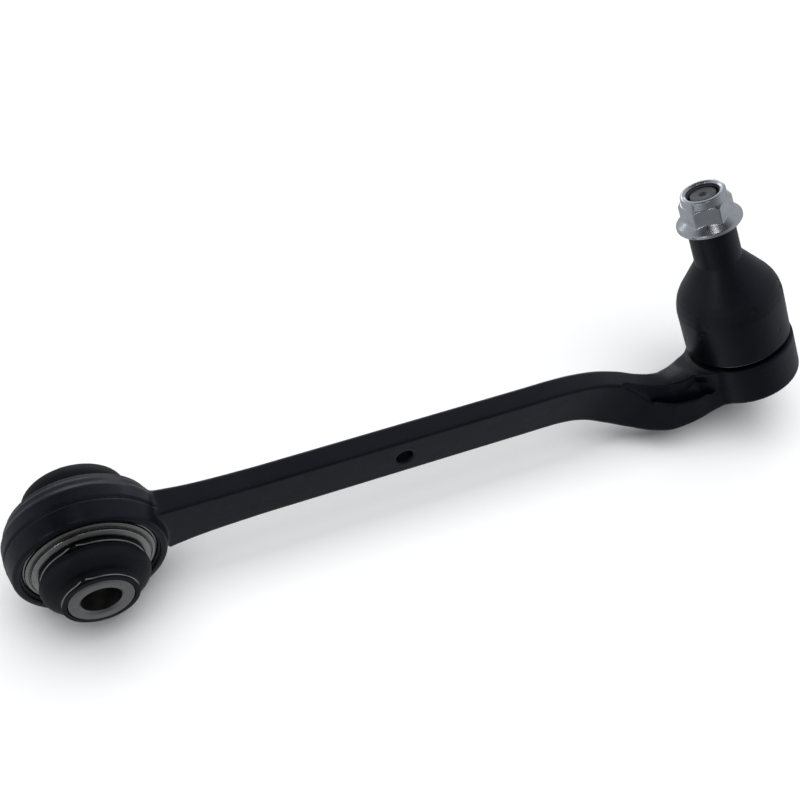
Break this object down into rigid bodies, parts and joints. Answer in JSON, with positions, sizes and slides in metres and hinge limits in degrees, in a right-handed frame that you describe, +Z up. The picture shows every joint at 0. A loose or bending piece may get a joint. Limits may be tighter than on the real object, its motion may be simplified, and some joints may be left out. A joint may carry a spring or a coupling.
{
  "type": "suspension control arm",
  "caption": "Forged black link arm with a sealed ball sleeve for a bolt at one end, a dropped bend, and a covered ball joint stud with a flanged lock nut at the other.",
  "frame": {"origin": "centre of the inner ball sleeve, on the axis of its bolt bore", "axes": "+Y runs along the bolt bore towards the rear, +X runs along the arm towards the ball joint, +Z is up"},
  "size_m": [0.385, 0.0705, 0.1225],
  "materials": {
    "black_coat": "satin black coating over a forged surface",
    "turned_steel": "turned, warm grey",
    "plate_steel": "pressed sheet",
    "wire_steel": "drawn spring wire",
    "stud_steel": "dark heat-treated steel",
    "zinc_plate": "bright bluish zinc plating",
    "black_rubber": "matte",
    "cover_plastic": "satin black, slightly oily",
    "seat_plastic": "off-white bearing plastic",
    "insert_plastic": "dark locking insert"
  },
  "bodies": {
    "arm": {"arm_forging": "black_coat", "closing_ring_front": "turned_steel", "closing_ring_rear": "turned_steel", "front_boot_foot_wire": "wire_steel", "rear_boot_foot_wire": "wire_steel", "ball_seat_lower": "seat_plastic", "housing_cover_plate": "plate_steel", "dust_boot_foot_ring": "wire_steel"},
    "sleeve_bearing": {"sleeve_race_front": "seat_plastic", "sleeve_race_rear": "seat_plastic"},
    "boot_collars": {"front_boot": "black_rubber", "rear_boot": "black_rubber", "front_boot_collar_wire": "wire_steel", "rear_boot_collar_wire": "wire_steel"},
    "sleeve": {"ball_sleeve": "turned_steel"},
    "stud_bearing": {"ball_seat_upper": "seat_plastic"},
    "stud_cap": {"stud_cover": "cover_plastic", "dust_boot": "black_rubber", "dust_boot_lip_ring": "wire_steel"},
    "stud": {"ball_stud": "stud_steel"},
    "nut_carrier": {"nut_insert": "insert_plastic"},
    "nut": {"lock_nut": "zinc_plate"}
  },
  "joints": [
    {"name": "sleeve_bearing_turn", "type": "hinge", "parent": "arm", "child": "sleeve_bearing", "pos_m": [0, 0, 0], "axis": [0, 1, 0], "continuous": true},
    {"name": "sleeve_tilt", "type": "hinge", "parent": "sleeve_bearing", "child": "boot_collars", "pos_m": [0, 0, 0], "axis": [1, 0, 0], "range_deg": [-12, 12], "deforming": ["front_boot", "rear_boot"]},
    {"name": "sleeve_spin", "type": "hinge", "parent": "boot_collars", "child": "sleeve", "pos_m": [0, 0, 0], "axis": [0, 1, 0], "continuous": true},
    {"name": "stud_bearing_turn", "type": "hinge", "parent": "arm", "child": "stud_bearing", "pos_m": [0.3245, -0.0052, 0], "axis": [-0.3014, 0.3541, 0.8853], "continuous": true},
    {"name": "stud_tilt", "type": "hinge", "parent": "stud_bearing", "child": "stud_cap", "pos_m": [0.3245, -0.0052, 0], "axis": [0, 0.9285, -0.3714], "range_deg": [-18, 18], "deforming": ["dust_boot", "stud_cover"]},
    {"name": "stud_spin", "type": "hinge", "parent": "stud_cap", "child": "stud", "pos_m": [0.3245, -0.0052, 0], "axis": [-0.3014, 0.3541, 0.8853], "continuous": true},
    {"name": "nut_travel", "type": "slide", "parent": "stud", "child": "nut_carrier", "axis": [-0.3014, 0.3541, 0.8853], "range_m": [0, 0.0075]},
    {"name": "nut_turn", "type": "hinge", "parent": "nut_carrier", "child": "nut", "pos_m": [0.3245, -0.0052, 0], "axis": [-0.3014, 0.3541, 0.8853], "range_deg": [0, 1800]}
  ],
  "couplings": [
    {"joint": "nut_travel", "follows": "nut_turn", "m_per_rad": 0.00023873}
  ]
}
